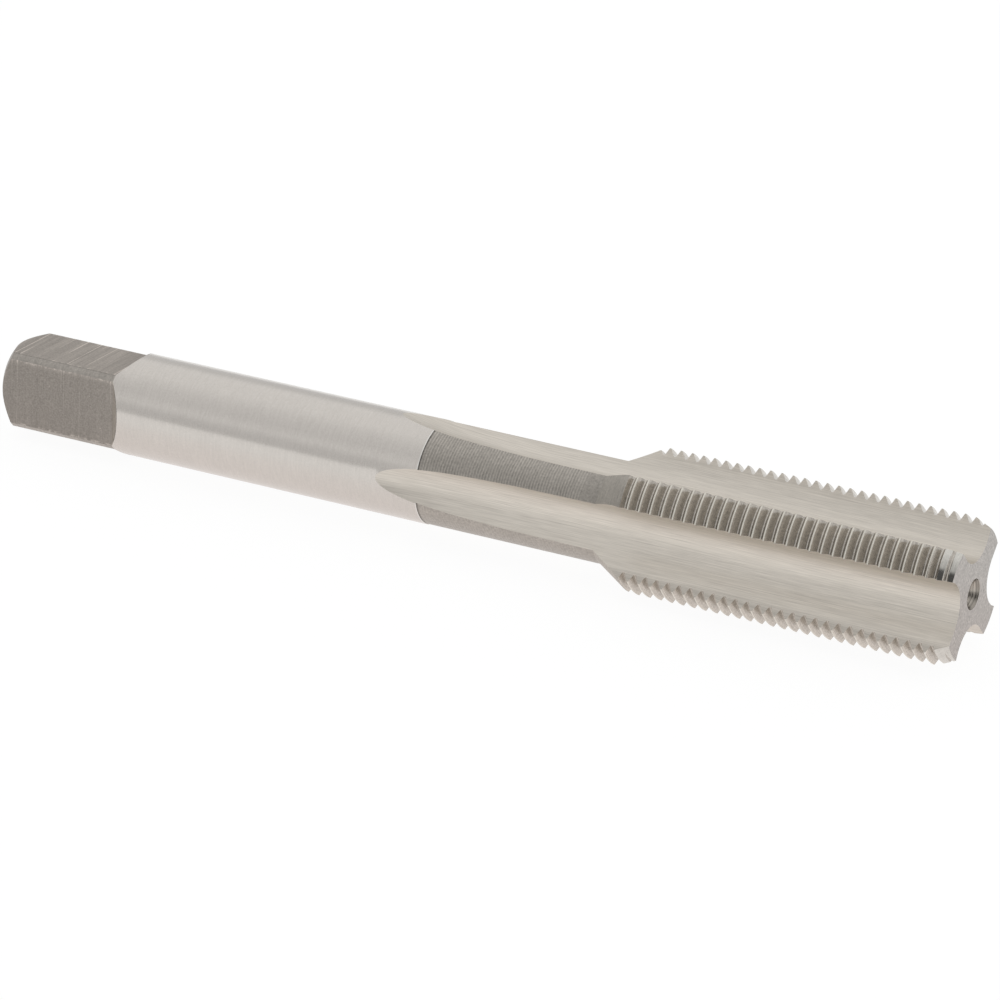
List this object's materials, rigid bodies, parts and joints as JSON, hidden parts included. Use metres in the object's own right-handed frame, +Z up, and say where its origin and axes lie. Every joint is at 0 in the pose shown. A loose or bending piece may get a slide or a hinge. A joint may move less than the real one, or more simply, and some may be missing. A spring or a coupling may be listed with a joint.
{
  "type": "straight flute tap",
  "caption": "Straight flute hand tap: fine right-hand thread with a short tapered lead, slim neck, round shank and square drive end.",
  "frame": {"origin": "centre of the square drive end face", "axes": "+X along the axis from the drive end to the tip, +Z up as the tap lies with one flute down"},
  "size_m": [0.0802, 0.0096, 0.0096],
  "materials": {
    "ground_steel": "ground and turned bare high-speed steel"
  },
  "bodies": {
    "root": {"tap": "ground_steel"}
  },
  "joints": []
}
